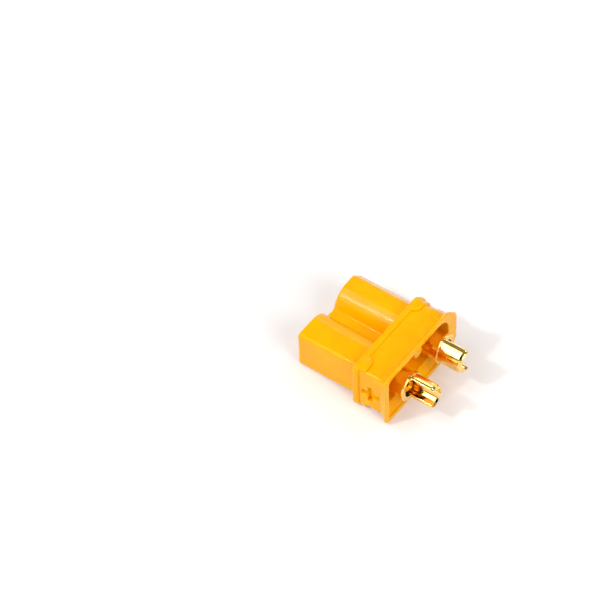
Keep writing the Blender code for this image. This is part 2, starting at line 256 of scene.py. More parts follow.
def arc(centre: Point, radius: float, start: float, end: float, steps: int) -> list[Point]:
    """Lists points on an arc, both ends included.

    Args:
        centre: The arc's centre.
        radius: Its radius.
        start: The angle that it starts at, in degrees.
        end: The angle that it ends at, in degrees.
        steps: How many pieces it has.

    Returns:
        The points in order.
    """
    turns = [math.radians(start + (end - start) * i / steps) for i in range(steps + 1)]
    return [(centre[0] + radius * math.cos(t), centre[1] + radius * math.sin(t)) for t in turns]


def quarter_turn(steps: int) -> list[float]:
    """Lists the angles of a quarter turn in even steps, both ends included."""
    return [math.pi / 2 * i / steps for i in range(steps + 1)]


def spot(x: float, station: float, height: float) -> Vector:
    """Turns a place across, behind the barrels' front face and above the floor from millimetres to metres."""
    return Vector((x, station + FRONT_FACE, height)) * MM


def mirrored(upper: list[Point]) -> list[Point]:
    """Closes the upper half of an outline with its mirror image below."""
    return upper + [(x, -z) for x, z in reversed(upper)]


def loft(name: str, rings: Sequence[Ring], centre: float = 0.0) -> bpy.types.Object:
    """Makes a closed solid through outlines that stand across the Y axis.

    Args:
        name: The object's name.
        rings: Station behind the barrels' front face, and outline about the contacts' height, both in
            millimetres. Every outline has the same number of points.
        centre: Where the outlines' middle lies across the part, in millimetres.

    Returns:
        The new object.
    """
    shape = bmesh.new()
    loops = [
        [shape.verts.new(spot(centre + x, station, z + AXIS_HEIGHT)) for x, z in outline]
        for station, outline in rings
    ]
    for front, rear in zip(loops, loops[1:]):
        for i in range(len(front)):
            shape.faces.new((front[i - 1], front[i], rear[i], rear[i - 1]))
    shape.faces.new(loops[0])
    shape.faces.new(loops[-1])
    bmesh.ops.recalc_face_normals(shape, faces=shape.faces)
    return object_from(name, shape)


def turned(name: str, profile: Sequence[Point], x: float, z: float = 0.0) -> bpy.types.Object:
    """Makes a solid of revolution about an axis along Y.

    Args:
        name: The object's name.
        profile: Radius and station behind the barrels' front face of each point, in millimetres.
        x: Where the axis lies across the part, in millimetres.
        z: How far it lies above the contacts' height, in millimetres.

    Returns:
        The new object.
    """
    shape = bmesh.new()
    verts = [shape.verts.new(spot(radius, station, 0.0)) for radius, station in profile]
    edges = [shape.edges.new(pair) for pair in zip(verts, verts[1:])]
    bmesh.ops.spin(
        shape, geom=verts + edges, cent=(0, 0, 0), axis=(0, 1, 0),
        angle=2 * math.pi, steps=TURNED_FACES, use_merge=True,
    )
    bmesh.ops.remove_doubles(shape, verts=shape.verts, dist=0.0005 * MM)
    bmesh.ops.recalc_face_normals(shape, faces=shape.faces)
    bmesh.ops.translate(shape, verts=shape.verts, vec=Vector((x, 0.0, AXIS_HEIGHT + z)) * MM)
    return object_from(name, shape)


def prism(name: str, outline: Sequence[Point], low: float, high: float) -> bpy.types.Object:
    """Makes an upright prism.

    Args:
        name: The object's name.
        outline: Its plan as X and station behind the barrels' front face, in millimetres.
        low: The height of its lower face, in millimetres.
        high: The height of its upper face, in millimetres.

    Returns:
        The new object.
    """
    shape = bmesh.new()
    loops = [
        [shape.verts.new(spot(x, station, height)) for x, station in outline]
        for height in (low, high)
    ]
    for i in range(len(outline)):
        shape.faces.new((loops[0][i - 1], loops[0][i], loops[1][i], loops[1][i - 1]))
    shape.faces.new(loops[0])
    shape.faces.new(loops[1])
    bmesh.ops.recalc_face_normals(shape, faces=shape.faces)
    return object_from(name, shape)


def box(name: str, low: Sequence[float], high: Sequence[float]) -> bpy.types.Object:
    """Makes a box.

    Args:
        name: The object's name.
        low: Its lowest corner as X, station behind the barrels' front face, and Z, in millimetres.
        high: Its highest corner in the same way.

    Returns:
        The new object.
    """
    plan = [(low[0], low[1]), (high[0], low[1]), (high[0], high[1]), (low[0], high[1])]
    return prism(name, plan, low[2], high[2])


@dataclass(frozen=True)
class MouldedNylon:
    """Polyamide 66, dyed amber and injection moulded in a spark-eroded steel mould.

    The eroded steel leaves a fine, even grain, which breaks a lamp's image up into a speckled sheen.
    Nylon is a little translucent, so thin walls and deep corners glow orange.
    """

    body: str = "FFB900"
    flow: str = "FFAE00"
    ior: float = 1.53
    # The pits' walls throw part of the mirror image aside, which a lower specular level stands for.
    specular: float = 0.16
    # The pits' floors are smoother than the mean by the first step, and the ridges duller by the second.
    roughness: float = 0.08
    polish: float = 0.04
    dulling: float = 0.1
    glow: float = 0.35
    glow_mm: float = 0.5
    # Spark erosion leaves pits of some 0.03 mm; they are drawn nine times as coarse, so that they show.
    grain_mm: float = 0.28
    grain_depth_mm: float = 0.028
    # Melt that meets itself leaves cloudy flow marks a few millimetres long.
    flow_mm: float = 2.6

    def material(self) -> bpy.types.Material:
        """Builds the nylon.

        Returns:
            The new material.
        """
        material = empty_material("injection_moulded_nylon")
        tree = material.node_tree
        place = add_node(tree, "TexCoord")
        flow = add_node(
            tree, "TexNoise",
            {"Scale": 1.0 / (self.flow_mm * MM), "Detail": 3.0, "Roughness": 0.6, "Distortion": 0.6},
            {"Vector": place.outputs["Object"]},
        )
        tone = add_node(tree, "ValToRGB", links={"Fac": flow.outputs["Fac"]})
        set_ramp(tone, [(0.3, linear(self.flow)), (0.7, linear(self.body))])
        grain = add_node(
            tree, "TexNoise",
            {"Scale": 1.0 / (self.grain_mm * MM), "Detail": 3.0, "Roughness": 0.6},
            {"Vector": place.outputs["Object"]},
        )
        bump = add_node(
            tree, "Bump",
            {"Strength": 1.0, "Distance": self.grain_depth_mm * MM},
            {"Height": grain.outputs["Fac"]},
        )
        shine = add_node(
            tree, "MapRange",
            {
                "From Min": 0.4,
                "From Max": 0.6,
                "To Min": self.roughness - self.polish,
                "To Max": self.roughness + self.dulling,
            },
            {"Value": grain.outputs["Fac"]},
        )
        shader = add_node(
            tree, "BsdfPrincipled",
            {
                "IOR": self.ior,
                "Specular IOR Level": self.specular,
                "Subsurface Weight": self.glow,
                "Subsurface Radius": (1.0, 0.42, 0.06),
                "Subsurface Scale": self.glow_mm * MM,
            },
            {
                "Base Color": tone.outputs["Color"],
                "Roughness": shine.outputs["Result"],
                "Normal": bump.outputs["Normal"],
            },
        )
        add_node(tree, "OutputMaterial", links={"Surface": shader.outputs["BSDF"]})
        return material


@dataclass(frozen=True)
class GoldPlatedBrass:
    """Free-cutting brass, turned on a lathe and plated with bright gold.

    The plating is close to a mirror, but it keeps the tool's feed marks. They run round the part and
    draw the reflections out a little along it.
    """

    gold: str = "FFDC8C"
    rubbed: str = "F6C76A"
    # Handling leaves faint clouds, polished by the first step and dulled by the second.
    roughness: float = 0.09
    polish: float = 0.03
    dulling: float = 0.05
    # A finishing cut advances some 0.04 mm a turn; the marks are drawn at twice that, so that they show.
    feed_mm: float = 0.08
    feed_depth_mm: float = 0.0002
    cloud_mm: float = 0.9

    def material(self) -> bpy.types.Material:
        """Builds the plated brass.

        Returns:
            The new material.
        """
        material = empty_material("turned_gold_plated_brass")
        tree = material.node_tree
        place = add_node(tree, "TexCoord")
        cloud = add_node(
            tree, "TexNoise",
            {"Scale": 1.0 / (self.cloud_mm * MM), "Detail": 4.0, "Roughness": 0.6},
            {"Vector": place.outputs["Object"]},
        )
        tone = add_node(tree, "ValToRGB", links={"Fac": cloud.outputs["Fac"]})
        set_ramp(tone, [(0.35, linear(self.rubbed)), (0.6, linear(self.gold))])
        # A wave of bands repeats every pi / 10 of its scaled place.
        feed = add_node(
            tree, "TexWave",
            {
                "wave_type": "BANDS",
                "bands_direction": "Y",
                "Scale": math.pi / 10 / (self.feed_mm * MM),
                "Distortion": 0.4,
                "Detail": 1.0,
            },
            {"Vector": place.outputs["Object"]},
        )
        bump = add_node(
            tree, "Bump",
            {"Strength": 1.0, "Distance": self.feed_depth_mm * MM},
            {"Height": feed.outputs["Fac"]},
        )
        shine = add_node(
            tree, "MapRange",
            {
                "From Min": 0.3,
                "From Max": 0.7,
                "To Min": self.roughness - self.polish,
                "To Max": self.roughness + self.dulling,
            },
            {"Value": cloud.outputs["Fac"]},
        )
        shader = add_node(
            tree, "BsdfPrincipled",
            {"Metallic": 1.0},
            {
                "Base Color": tone.outputs["Color"],
                "Roughness": shine.outputs["Result"],
                "Normal": bump.outputs["Normal"],
            },
        )
        add_node(tree, "OutputMaterial", links={"Surface": shader.outputs["BSDF"]})
        return material


@dataclass(frozen=True)
class StudioPaper:
    """White background paper: matt, and for the eye a step brighter than it is lit, down to its shadows."""

    paper: str = "EAE7E6"
    lift: float = 0.15

    def material(self) -> bpy.types.Material:
        """Builds the paper.

        Returns:
            The new material.
        """
        material = empty_material("matt_background_paper")
        tree = material.node_tree
        strength = add_node(tree, "Math", {"operation": "MULTIPLY", 1: self.lift}, {0: seen_share(tree)})
        colour = linear(self.paper)
        matt = add_node(tree, "BsdfDiffuse", {"Color": colour})
        lift = add_node(tree, "Emission", {"Color": colour}, {"Strength": strength.outputs["Value"]})
        both = add_node(tree, "AddShader", links={0: matt.outputs["BSDF"], 1: lift.outputs["Emission"]})
        add_node(tree, "OutputMaterial", links={"Surface": both.outputs["Shader"]})
        return material


@dataclass(frozen=True)
class KeyedSection:
    """A section across the housing in millimetres: round corners at +X, cut and rounded ones at -X."""

    width: float
    height: float
    corner: float
    leg: float
    bend: float

    def outline(self, inset: float = 0.0) -> list[Point]:
        """Lists the section's points, moved inwards everywhere by an even distance.

        Args:
            inset: The distance in millimetres.

        Returns:
            The points about the contacts' height.
        """
        half_width, half_height = self.width / 2 - inset, self.height / 2 - inset
        corner = max(self.corner - inset, LEAST_RADIUS)
        bend = max(self.bend - inset, LEAST_RADIUS)
        leg = self.leg - inset * (2 - math.sqrt(2))
        setback = bend * math.tan(math.pi / 8)
        upper = arc((half_width - corner, half_height - corner), corner, 0, 90, 8)
        upper += arc((-half_width + leg + setback, half_height - bend), bend, 90, 135, 7)
        upper += arc((-half_width + bend, half_height - leg - setback), bend, 135, 180, 7)
        return mirrored(upper)

    def towards(self, other: "KeyedSection", share: float) -> "KeyedSection":
        """Mixes this section with another one.

        Args:
            other: The other section.
            share: How much of the way to go, from 0 to 1.

        Returns:
            The section in between.
        """
        return KeyedSection(
            self.width + (other.width - self.width) * share,
            self.height + (other.height - self.height) * share,
            self.corner + (other.corner - self.corner) * share,
            self.leg + (other.leg - self.leg) * share,
            self.bend + (other.bend - self.bend) * share,
        )


@dataclass(frozen=True)
class BarrelSection:
    """The section of both barrels and their web in millimetres: square at +X, cut corners at -X."""

    width: float = 9.2
    height: float = 3.9
    corner: float = 0.34
    web: float = 0.66
    key: float = 1.1
    fillet: float = 0.22

    def outline(self, inset: float = 0.0) -> list[Point]:
        """Lists the section's points, moved inwards everywhere by an even distance.

        Args:
            inset: The distance in millimetres.

        Returns:
            The points about the contacts' height.
        """
        half_width, half_height = self.width / 2 - inset, self.height / 2 - inset
        centre, corner = PITCH / 2, max(self.corner - inset, LEAST_RADIUS)
        leg = self.key - inset * (2 - math.sqrt(2))
        setback = corner * math.tan(math.pi / 8)
        web, fillet = self.web / 2 - inset, self.fillet + inset
        foot = centre - math.sqrt((half_height + fillet) ** 2 - (web + fillet) ** 2)
        lean = math.degrees(math.atan2(web + fillet, centre - foot))
        upper = arc((half_width - corner, half_height - corner), corner, 0, 90, 7)
        upper += arc((centre, 0.0), half_height, 90, 180 - lean, 26)
        upper += arc((foot, web + fillet), fillet, -lean, -90, 5)[1:]
        upper += arc((-foot, web + fillet), fillet, -90, -180 + lean, 5)
        upper += arc((-centre, 0.0), half_height, lean, 90, 26)[1:]
        upper += arc((-half_width + leg + setback, half_height - corner), corner, 90, 135, 5)
        upper += arc((-half_width + corner, half_height - leg - setback), corner, 135, 180, 5)
        return mirrored(upper)


@dataclass(frozen=True)
class PocketSection:
    """The section of the rear pocket in millimetres: thin walls, and full round corners at -X."""

    width: float
    height: float
    neck_width: float
    wall: float = 0.52
    keyed_wall: float = 0.93
    corner: float = 0.35
    keyed_corner: float = 1.55
    least_flat: float = 0.1

    def outline(self, inset: float = 0.0) -> list[Point]:
        """Lists the section's points, moved inwards everywhere by an even distance.

        Args:
            inset: The distance in millimetres, below zero for a wider section.

        Returns:
            The points about the contacts' height.
        """
        square = self.width / 2 - self.wall - inset
        keyed = self.neck_width / 2 - self.keyed_wall - inset
        half_height = self.height / 2 - self.wall - inset
        corner = max(self.corner - inset, LEAST_RADIUS)
        keyed_corner = min(self.keyed_corner - inset, half_height - self.least_flat)
        upper = arc((square - corner, half_height - corner), corner, 0, 90, 7)
        upper += arc((-keyed + keyed_corner, half_height - keyed_corner), keyed_corner, 90, 180, 16)
        return mirrored(upper)


Section = KeyedSection | BarrelSection | PocketSection


def round_front(section: Section, station: float, radius: float) -> list[Ring]:
    """Lists the rings of a solid's rounded front end, from its face backwards.

    Args:
        section: The solid's section behind the rounding.
        station: Where its front face is, in millimetres.
        radius: The rounding's radius in millimetres.

    Returns:
        The rings, front to rear.
    """
    return [
        (station + radius * (1 - math.cos(t)), section.outline(radius * (1 - math.sin(t))))
        for t in quarter_turn(5)
    ]


def round_rear(section: Section, station: float, radius: float) -> list[Ring]:
    """Lists the rings of a solid's rounded rear end, up to its face, in the way of round_front."""
    front = round_front(section, station, radius)
    return [(2 * station - place, outline) for place, outline in reversed(front)]


def soften(corners: Sequence[Point], reach: float, steps: int = 5) -> Iterator[Point]:
    """Walks along a line with its inner corners rounded.

    Args:
        corners: The line's corners.
        reach: How far before and behind a corner its rounding starts and ends, along the first axis.
        steps: How many pieces a rounding has.

    Yields:
        The points of the rounded line in order.
    """
    yield corners[0]
    for before, corner, after in zip(corners, corners[1:], corners[2:]):
        lead, tail = Vector(before) - Vector(corner), Vector(after) - Vector(corner)
        start = Vector(corner) + lead * min(reach / abs(lead.x), 0.5)
        end = Vector(corner) + tail * min(reach / abs(tail.x), 0.5)
        for i in range(steps + 1):
            t = i / steps
            point = start * (1 - t) ** 2 + Vector(corner) * 2 * t * (1 - t) + end * t ** 2
            yield (point.x, point.y)
    yield corners[-1]


@dataclass(frozen=True)
class Tongue:
    """A flat tongue on the neck's upper and lower face, in millimetres. Its free inner corner is round."""

    name: str
    side: float
    width: float
    rise: float
    root: float
    free: float
    radius: float = 0.72
    edge: float = 0.07


@dataclass
class Housing:
    """The moulded housing: joined barrels, flange with tongues, neck, flared rim and open pocket.

    Sizes are in millimetres. Stations count from the barrels' front face along +Y.
    """

    node: str = "housing"
    barrels: BarrelSection = BarrelSection()
    front_edge: float = 0.15
    flange: KeyedSection = KeyedSection(10.4, 4.9, 0.5, 1.0, 0.85)
    flange_front: float = 6.02
    flange_rear: float = 6.62
    flange_edges: tuple[float, float] = (0.16, 0.25)
    neck: KeyedSection = KeyedSection(9.9, 4.46, 0.35, 1.0, 0.5)
    neck_rear: float = 8.82
    rim: KeyedSection = KeyedSection(10.6, 5.8, 0.6, 1.3, 1.05)
    rim_mouth: float = 9.44
    rear_end: float = 9.58
    rim_edge: float = 0.11
    flare_bend: float = 0.1
    pocket_floor: float = 7.63
    pocket_floor_edge: float = 0.12
    pocket_edge: float = 0.09
    stud_edge: float = 0.12
    boss_radius: float = 1.55
    boss_end: float = 8.23
    rib_radius: float = 0.575
    rib_end: float = 9.23
    rib_rise: float = 1.35
    seat_radius: float = 1.27
    groove_radius: float = 1.41
    groove_front: float = 6.35
    groove_rear: float = 6.95
    chamber_radius: float = 1.42
    chamber_rear: float = 5.6
    lead_in: float = 0.22
    # The tongues end this far inside the neck's sides. Two lie behind the flange, and one before the rim.
    tongue_inset: float = 0.06
    tongues: tuple[Tongue, ...] = (
        Tongue("square_flange_tongue", 1.0, 1.5, 0.2, 6.32, 7.24),
        Tongue("keyed_flange_tongue", -1.0, 2.1, 0.2, 6.32, 7.14),
        Tongue("keyed_rim_tongue", -1.0, 1.75, 0.11, 9.12, 8.02),
    )
    # The polarity marks on the neck's sides: a stroke's sizes, its slanted walls, and where its middle is.
    mark_length: float = 1.72
    mark_stroke: float = 0.44
    mark_depth: float = 0.34
    mark_draft: float = 0.05
    mark_mouth: float = 0.12
    mark_overshoot: float = 0.05
    mark_station: float = 7.72
    mark_drop: float = 0.33
    finish: MouldedNylon = field(default_factory=MouldedNylon)

    def flared_shell(self) -> bpy.types.Object:
        """Makes the neck and the rim as one solid with a soft flare.

        Returns:
            The new object.
        """
        front = self.flange_rear - OVERLAP
        flare = [(front, 0.0), (self.neck_rear, 0.0), (self.rim_mouth, 1.0), (self.rear_end, 1.0)]
        rings = [
            (station, self.neck.towards(self.rim, share).outline())
            for station, share in soften(flare, self.flare_bend)
            if station < self.rear_end - self.rim_edge - LEAST_STEP
        ]
        return loft("neck_and_rim", rings + round_rear(self.rim, self.rear_end, self.rim_edge))

    def tongue(self, spec: Tongue) -> bpy.types.Object:
        """Makes a tongue and its twin on the lower face as one solid through the neck.

        Args:
            spec: The tongue's sizes.

        Returns:
            The new object.
        """
        outer = spec.side * (self.neck.width / 2 - self.tongue_inset)
        inner = outer - spec.side * spec.width
        reach = math.copysign(1.0, spec.free - spec.root)
        radius = min(spec.radius, abs(spec.free - spec.root))
        bend = (inner + spec.side * radius, spec.free - reach * radius)
        corner = [
            (bend[0] - spec.side * radius * math.cos(t), bend[1] + reach * radius * math.sin(t))
            for t in quarter_turn(8)
        ]
        plan = [(inner, spec.root)] + corner + [(outer, spec.free), (outer, spec.root)]
        section = replace(
            self.neck,
            width=self.neck.width + 2 * spec.rise,
            height=self.neck.height + 2 * spec.rise,
            corner=LEAST_RADIUS,
            leg=self.neck.leg + spec.rise * (2 - math.sqrt(2)),
        )
        front, rear = min(spec.root, spec.free) - OVERLAP, max(spec.root, spec.free) + OVERLAP
        solid = loft(spec.name, [(front, section.outline()), (rear, section.outline())])
        combine(solid, prism(spec.name + "_plan", plan, *THROUGH), Join.MEET)
        break_edges(solid, spec.edge, 40, 2)
        return solid

    def pocket(self) -> bpy.types.Object:
        """Makes the shape of the rear pocket: rounded at its floor, flared and eased at its mouth.

        Returns:
            The new object.
        """
        throat = PocketSection(self.neck.width, self.neck.height, self.neck.width)
        mouth = PocketSection(self.rim.width, self.rim.height, self.neck.width)
        rings = round_front(throat, self.pocket_floor, self.pocket_floor_edge)
        rings += [(self.neck_rear, throat.outline()), (self.rim_mouth, mouth.outline())]
        for t in quarter_turn(4):
            station = self.rear_end - self.pocket_edge * (1 - math.sin(t))
            rings.append((station, mouth.outline(-self.pocket_edge * (1 - math.cos(t)))))
        rings.append((self.rear_end + OVERLAP, mouth.outline(-self.pocket_edge)))
        return loft("rear_pocket", rings)

    def stud(self, name: str, radius: float, end: float, x: float, z: float) -> bpy.types.Object:
        """Makes a round stud on the pocket's floor.

        Args:
            name: The object's name.
            radius: Its radius.
            end: The station of its free end.
            x: Its place across the part.
            z: Its place above the contacts' height.

        Returns:
            The new object.
        """
        edge, root = self.stud_edge, self.pocket_floor - OVERLAP
        rounding = [
            (radius - edge * (1 - math.sin(t)), end - edge * (1 - math.cos(t)))
            for t in quarter_turn(4)
        ]
        return turned(name, [(0.0, end), *rounding, (radius, root), (0.0, root)], x, z)

    def contact_passage(self, name: str, x: float) -> bpy.types.Object:
        """Makes the shape of one contact's passage: a wide chamber, then a close seat with a barb groove.

        Args:
            name: The object's name.
            x: Its place across the part.

        Returns:
            The new object.
        """
        seat, chamber, groove = self.seat_radius, self.chamber_radius, self.groove_radius
        lead, rear = self.lead_in, self.rear_end + OVERLAP
        profile = [
            (0.0, rear),
            (seat, rear),
            (seat, self.groove_rear),
            (groove, self.groove_rear),
            (groove, self.groove_front),
            (seat, self.groove_front),
            (seat, self.chamber_rear),
            (chamber, self.chamber_rear),
            (chamber, lead + 0.06),
            (chamber + 0.02, lead),
            (chamber + lead - 0.04, 0.04),
            (chamber + lead + 0.02, -0.01),
            (chamber + lead + 0.02, -OVERLAP),
            (0.0, -OVERLAP),
        ]
        return turned(name, profile, x)

    def mark_stroke_cutter(self, name: str, side: float, length: float, height: float) -> bpy.types.Object:
        """Makes the shape of one stroke of a mark: narrow at its floor and wider at the surface.

        Args:
            name: The object's name.
            side: The side of X that it lies on.
            length: Its size along Y at its floor.
            height: Its size along Z at its floor.

        Returns:
            The new object.
        """
        surface = self.neck.width / 2
        depths = (
            (surface - self.mark_depth, 0.0),
            (surface, self.mark_draft),
            (surface + self.mark_overshoot, self.mark_mouth),
        )
        shape = bmesh.new()
        loops = []
        for reach, spread in depths:
            half_y, half_z = length / 2 + spread, height / 2 + spread
            corners = ((-half_y, -half_z), (half_y, -half_z), (half_y, half_z), (-half_y, half_z))
            loops.append([
                shape.verts.new(spot(side * reach, self.mark_station + y, AXIS_HEIGHT - self.mark_drop + z))
                for y, z in corners
            ])
        for inner, outer in zip(loops, loops[1:]):
            for i in range(4):
                shape.faces.new((inner[i - 1], inner[i], outer[i], outer[i - 1]))
        shape.faces.new(loops[0])
        shape.faces.new(loops[-1])
        bmesh.ops.recalc_face_normals(shape, faces=shape.faces)
        return object_from(name, shape)

    def engrave(self, obj: bpy.types.Object, polarity: Polarity) -> None:
        """Cuts one polarity mark into the neck's side: two crossed strokes for plus, one for minus.

        Args:
            obj: The housing's object.
            polarity: Which mark, and so which side.
        """
        strokes = [(self.mark_length, self.mark_stroke)]
        if polarity is Polarity.POSITIVE:
            strokes.append((self.mark_stroke, self.mark_length))
        for index, (length, height) in enumerate(strokes):
            name = f"{polarity.name.lower()}_mark_{index}"
            combine(obj, self.mark_stroke_cutter(name, polarity.value, length, height), Join.CUT)

    def build(self) -> bpy.types.Object:
        """Moulds the housing.

        Returns:
            The housing's object.
        """
        body = round_front(self.barrels, 0.0, self.front_edge)
        body.append((self.flange_rear - OVERLAP / 2, self.barrels.outline()))
        obj = loft("moulded_housing", body)
        flange = round_front(self.flange, self.flange_front, self.flange_edges[0])
        flange += round_rear(self.flange, self.flange_rear, self.flange_edges[1])
        combine(obj, loft("flange", flange), Join.ADD)
        combine(obj, self.flared_shell(), Join.ADD)
        for spec in self.tongues:
            combine(obj, self.tongue(spec), Join.ADD)
        combine(obj, self.pocket(), Join.CUT)
        combine(obj, self.stud("roof_rib", self.rib_radius, self.rib_end, 0.0, self.rib_rise), Join.ADD)
        for polarity in Polarity:
            place, name = polarity.value * PITCH / 2, polarity.name.lower()
            combine(obj, self.stud(name + "_boss", self.boss_radius, self.boss_end, place, 0.0), Join.ADD)
            self.engrave(obj, polarity)
        for polarity in Polarity:
            place, name = polarity.value * PITCH / 2, polarity.name.lower()
            combine(obj, self.contact_passage(name + "_passage", place), Join.CUT)
        shade(obj, 36)
        obj.data.materials.clear()
        obj.data.materials.append(self.finish.material())
        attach(obj, "root")
        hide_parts(self.node)
        return obj


@dataclass
class Contact:
    """A turned contact: a slotted spring socket in front, a barb and a collar, and a cut-open solder cup.

    Sizes are in millimetres. Stations count from the barrels' front face along +Y.
    """

    polarity: Polarity
    socket_front: float = 0.7
    socket_floor: float = 5.6
    body_radius: float = 1.22
    pin_radius: float = 1.0
    lead_in: float = 0.12
    slot_width: float = 0.3
    slot_end: float = 4.7
    slot_reach: float = 1.6
    barb_front: float = 6.4
    barb_rear: float = 6.9
    barb_radius: float = 1.36
    collar_front: float = 9.91
    collar_rear: float = 10.25
    collar_radius: float = 1.37
    collar_edge: float = 0.05
    cup_end: float = 12.55
    cup_radius: float = 1.25
    cup_bore: float = 0.9
    cup_floor: float = 9.2
    # Inside the collar the bore is wider than the open cup's by the first size. It ends in a drill's point.
    bore_step: float = 0.02
    drill_point: float = 0.3
    # How far the cup's wall reaches into the collar.
    cup_root: float = 0.06
    # The cup's free end is rounded by this much across its wall and along it, and its bore by the next size.
    cup_end_edge: tuple[float, float] = (0.22, 0.42)
    cup_mouth_edge: float = 0.05
    # The tips of the cup's half ring are rounded, and they lie this far on the open side of its axis.
    cup_edge: float = 0.06
    opening_offset: float = 0.11

    def rounding(self, corner: Point, reach: Point) -> list[Point]:
        """Lists the points of a rounded corner of the outline.

        Args:
            corner: The corner before it is rounded, as radius and station.
            reach: How far the rounding reaches along radius and station, with the sign of its side.

        Returns:
            The points from the turned surface round to the end face.
        """
        centre = (corner[0] + reach[0], corner[1] + reach[1])
        return [
            (centre[0] - reach[0] * math.cos(t), centre[1] - reach[1] * math.sin(t))
            for t in quarter_turn(6)
        ]

    def profile(self) -> list[Point]:
        """Lists the turned outline without the cup, as radius and station, from rear bore to socket."""
        collar, edge, mouth = self.collar_radius, self.collar_edge, self.cup_bore + self.bore_step
        return [
            (0.0, self.cup_floor - self.drill_point),
            (mouth, self.cup_floor),
            (mouth, self.collar_rear),
            *reversed(self.rounding((collar, self.collar_rear), (-edge, -edge))),
            *self.rounding((collar, self.collar_front), (-edge, edge)),
            (self.body_radius, self.collar_front),
            (self.body_radius, self.barb_rear),
            (self.barb_radius, self.barb_rear),
            (self.body_radius, self.barb_front),
            (self.body_radius, self.socket_front + self.lead_in),
            (self.body_radius - self.lead_in, self.socket_front),
            (self.pin_radius, self.socket_front),
            (self.pin_radius, self.socket_floor),
            (0.0, self.socket_floor + self.pin_radius / 2),
        ]

    def cup_outline(self, outer: float, bore: float) -> list[Point]:
        """Lists the section of the cup: a half ring with rounded tips, open towards the contact's own side.

        Args:
            outer: The half ring's outer radius.
            bore: Its inner radius.

        Returns:
            The points about the contact's axis.
        """
        opening, edge = self.opening_offset, min(self.cup_edge, (outer - bore) * 0.45)
        low = math.sqrt(bore ** 2 - opening ** 2) + edge
        high = math.sqrt(outer ** 2 - opening ** 2) - edge
        start = math.degrees(math.acos((opening - edge) / outer))
        inner_start = math.degrees(math.acos((opening - edge) / bore))
        tip = arc((opening - edge, low), edge, -90, 0, 4) + arc((opening - edge, high), edge, 0, 90, 4)
        points = tip + arc((0.0, 0.0), outer, start, 360 - start, 64)[1:-1]
        points += [(u, -z) for u, z in reversed(tip)]
        points += arc((0.0, 0.0), bore, 360 - inner_start, inner_start, 64)[1:-1]
        return [(self.polarity.value * u, z) for u, z in points]

    def cup(self, x: float) -> bpy.types.Object:
        """Makes the cup's open wall, rounded at its free end.

        Args:
            x: Where its axis lies across the part.

        Returns:
            The new object.
        """
        across, along = self.cup_end_edge
        stations = [(self.collar_rear - self.cup_root, 0.0), (self.cup_end - along, 0.0)]
        stations += [(self.cup_end - along * (1 - math.sin(t)), t) for t in quarter_turn(8)[1:]]
        rings = []
        for station, t in stations:
            outer = self.cup_radius - across * (1 - math.cos(t))
            wide = self.cup_mouth_edge * max(0.0, (station - self.cup_end) / along * 2 + 1)
            rings.append((station, self.cup_outline(outer, self.cup_bore + wide)))
        return loft("solder_cup", rings, x)

    def cut_slots(self, obj: bpy.types.Object, x: float) -> None:
        """Cuts the slots that part the socket into four spring fingers.

        Args:
            obj: The turned contact.
            x: Where its axis lies across the part.
        """
        half, reach = self.slot_width / 2, self.slot_reach
        start, end = self.socket_front - OVERLAP, self.slot_end
        for name, across, up in (("upright_slot", half, reach), ("level_slot", reach, half)):
            low = (x - across, start, AXIS_HEIGHT - up)
            high = (x + across, end, AXIS_HEIGHT + up)
            combine(obj, box(name, low, high), Join.CUT)

    def build(self, finish: bpy.types.Material) -> bpy.types.Object:
        """Turns the contact in its place.

        Args:
            finish: The plated brass.

        Returns:
            The contact's object.
        """
        x = self.polarity.value * PITCH / 2
        obj = turned(f"turned_{self.polarity.name.lower()}_contact", self.profile(), x)
        self.cut_slots(obj, x)
        combine(obj, self.cup(x), Join.ADD)
        shade(obj, 40)
        obj.data.materials.clear()
        obj.data.materials.append(finish)
        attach(obj, "root")
        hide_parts(f"{self.polarity.name.lower()}_contact")
        return obj


def hanging_place(direction: Sequence[float], distance: float, target: Vector) -> Matrix:
    """Works out how a lamp or a panel hangs, with its face to a point and its long side over the part.

    Args:
        direction: The way from the point to its middle.
        distance: How far away it hangs, in metres.
        target: The point that it faces.

    Returns:
        Its place and turn.
    """
    back = Vector(direction).normalized()
    along = Vector((back.z, 0.0, -back.x)).normalized()
    turn = Matrix((along, back.cross(along), back)).transposed()
    return Matrix.LocRotScale(target + back * distance, turn.to_quaternion(), None)


@dataclass(frozen=True)
class StripLamp:
    """A soft box that lies across the contacts: direction and distance, size in metres and radiance.

    Its long side follows the arc over the part from left to right, so that a contact mirrors it as a band.
    """

    name: str
    direction: tuple[float, float, float]
    distance: float
    length: float
    depth: float
    radiance: float

    def hang(self, target: Vector) -> bpy.types.Object:
        """Hangs the lamp and turns it to a point.

        Args:
            target: The point that it faces.

        Returns:
            The lamp's object.
        """
        light = bpy.data.lights.new(self.name, "AREA")
        light.shape = "RECTANGLE"
        light.size = self.length
        light.size_y = self.depth
        light.energy = self.radiance * math.pi * self.length * self.depth
        lamp = bpy.data.objects.new(self.name, light)
        bpy.context.scene.collection.objects.link(lamp)
        lamp.matrix_world = hanging_place(self.direction, self.distance, target)
        return lamp


